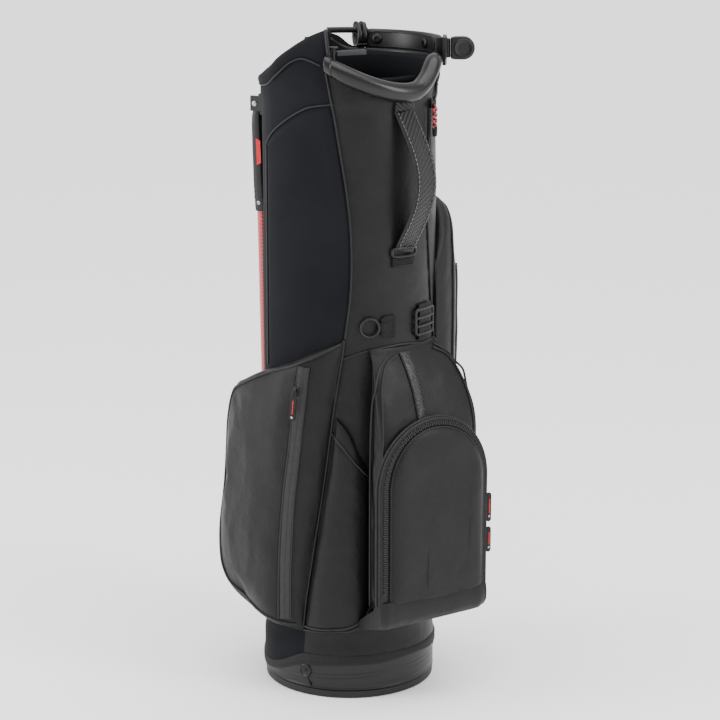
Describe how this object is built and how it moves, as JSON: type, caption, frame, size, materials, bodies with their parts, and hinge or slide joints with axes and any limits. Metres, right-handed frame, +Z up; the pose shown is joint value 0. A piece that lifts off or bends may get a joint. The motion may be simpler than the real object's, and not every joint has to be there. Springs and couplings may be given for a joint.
{
  "type": "golf stand bag",
  "caption": "Golf stand bag: padded tube on a hinged base foot, two swing-out carbon legs, side and ball pockets, moulded collar with strap bridge and carry handle.",
  "frame": {"origin": "centre of the base foot's flat underside, on the ground", "axes": "+Z up along the bag, -Y towards the spine and carry handle, +Y towards the legs, -X towards the large side pocket, +X towards the long side pocket"},
  "size_m": [0.3051, 0.3092, 0.8809],
  "materials": {
    "accent_red": "braided cord",
    "carbon_red": "clear-coated red woven carbon tube",
    "matte_black": "matt moulded",
    "moulded_black": "satin moulded",
    "pad_fabric": "matt knitted pad cloth",
    "rubber": "matt",
    "shell_fabric": "satin woven nylon",
    "steel": "satin",
    "webbing": "ribbed webbing"
  },
  "bodies": {
    "foot": {"base_foot": "moulded_black", "tilt_pin": "steel"},
    "bag": {"ball_pocket": "shell_fabric", "ball_pocket_lid": "shell_fabric", "ball_pocket_skirt": "shell_fabric", "base_boot": "moulded_black", "boot_boss_left": "moulded_black", "boot_boss_right": "moulded_black", "boot_trim_band": "moulded_black", "bridge_bolt_front": "steel", "bridge_bolt_rear": "steel", "carry_handle": "webbing", "club_clip": "moulded_black", "collar_frame": "moulded_black", "d_ring_tab": "webbing", "divider_cross": "pad_fabric", "divider_front": "pad_fabric", "divider_rear": "pad_fabric", "divider_top": "pad_fabric", "handle_anchor_low": "webbing", "hip_pad": "pad_fabric", "latch_knuckle": "moulded_black", "left_panel": "shell_fabric", "left_pocket": "shell_fabric", "left_shoulder_pad": "pad_fabric", "leg_bracket_left": "moulded_black", "leg_bracket_right": "moulded_black", "leg_pin_left": "steel", "leg_pin_right": "steel", "leg_side_panel": "shell_fabric", "patch_pocket": "shell_fabric", "rear_rail": "moulded_black", "right_panel": "shell_fabric", "right_pocket": "shell_fabric", "right_shoulder_pad": "pad_fabric", "rod_guide": "moulded_black", "spine_lip": "moulded_black", "spine_panel": "shell_fabric", "stay_left": "steel", "stay_right": "steel", "strap_bridge": "moulded_black", "strap_buckle": "matte_black"},
    "leg_left": {"leg_upper_left": "moulded_black", "leg_tube_left": "carbon_red", "leg_foot_left": "rubber"},
    "leg_right": {"leg_upper_right": "moulded_black", "leg_tube_right": "carbon_red", "leg_foot_right": "rubber"},
    "actuator": {"actuator_rod": "steel", "actuator_yoke": "moulded_black"},
    "d_ring": {"d_ring": "matte_black"},
    "latch": {"latch_bar": "matte_black"},
    "ear": {"swivel_ear": "moulded_black"},
    "left_zip_slider": {"left_zip_slider": "matte_black"},
    "left_zip_pull": {"left_zip_pull": "rubber"},
    "right_zip_slider": {"right_zip_slider": "matte_black"},
    "right_zip_pull": {"right_zip_pull": "accent_red"},
    "ball_zip_upper": {"ball_zip_pull_upper": "rubber"},
    "ball_zip_lower": {"ball_zip_pull_lower": "rubber"}
  },
  "joints": [
    {"name": "base_tilt", "type": "hinge", "parent": "foot", "child": "bag", "pos_m": [0, 0.06, 0.0125], "axis": [-1, 0, 0], "range_deg": [0, 20]},
    {"name": "leg_swing_left", "type": "hinge", "parent": "bag", "child": "leg_left", "pos_m": [-0.0674, 0.1113, 0.772], "axis": [0.8924, 0.4512, 0], "range_deg": [0, 32.5]},
    {"name": "leg_swing_right", "type": "hinge", "parent": "bag", "child": "leg_right", "pos_m": [0.0674, 0.1113, 0.772], "axis": [0.8924, -0.4512, 0], "range_deg": [0, 32.5]},
    {"name": "actuator_slide", "type": "slide", "parent": "bag", "child": "actuator", "axis": [0, 0, 1], "range_m": [0, 0.0095]},
    {"name": "d_ring_swing", "type": "hinge", "parent": "bag", "child": "d_ring", "pos_m": [-0.03289, -0.11344, 0.504], "axis": [0, 0, 1], "range_deg": [0, 60]},
    {"name": "latch_swing", "type": "hinge", "parent": "bag", "child": "latch", "pos_m": [-0.0775, -0.0755, 0.853], "axis": [0, 0, 1], "range_deg": [0, 60]},
    {"name": "ear_swivel", "type": "hinge", "parent": "bag", "child": "ear", "pos_m": [0.117, -0.056, 0.847], "axis": [0, 0, 1], "range_deg": [-25, 25]},
    {"name": "left_zip_slide", "type": "slide", "parent": "bag", "child": "left_zip_slider", "axis": [-0.0415, 0.0863, -0.9954], "range_m": [0, 0.24]},
    {"name": "left_zip_pull_lift", "type": "hinge", "parent": "left_zip_slider", "child": "left_zip_pull", "pos_m": [-0.13701, -0.07352, 0.42606], "axis": [-0.4231, 0.901, 0.0957], "range_deg": [0, 80]},
    {"name": "right_zip_slide", "type": "slide", "parent": "bag", "child": "right_zip_slider", "axis": [0, 0, -1], "range_m": [0, 0.1]},
    {"name": "right_zip_pull_lift", "type": "hinge", "parent": "right_zip_slider", "child": "right_zip_pull", "pos_m": [0.05825, -0.10689, 0.784], "axis": [-1, 0, 0], "range_deg": [0, 90]},
    {"name": "ball_zip_upper_lift", "type": "hinge", "parent": "bag", "child": "ball_zip_upper", "pos_m": [0.1108, -0.1625, 0.272], "axis": [0, -1, 0], "range_deg": [0, 80]},
    {"name": "ball_zip_lower_lift", "type": "hinge", "parent": "bag", "child": "ball_zip_lower", "pos_m": [0.1108, -0.1625, 0.225], "axis": [0, -1, 0], "range_deg": [0, 80]}
  ],
  "couplings": [
    {"joint": "leg_swing_left", "follows": "base_tilt", "ratio": 1.6},
    {"joint": "leg_swing_right", "follows": "base_tilt", "ratio": 1.6},
    {"joint": "actuator_slide", "follows": "base_tilt", "m_per_rad": 0.0243}
  ]
}
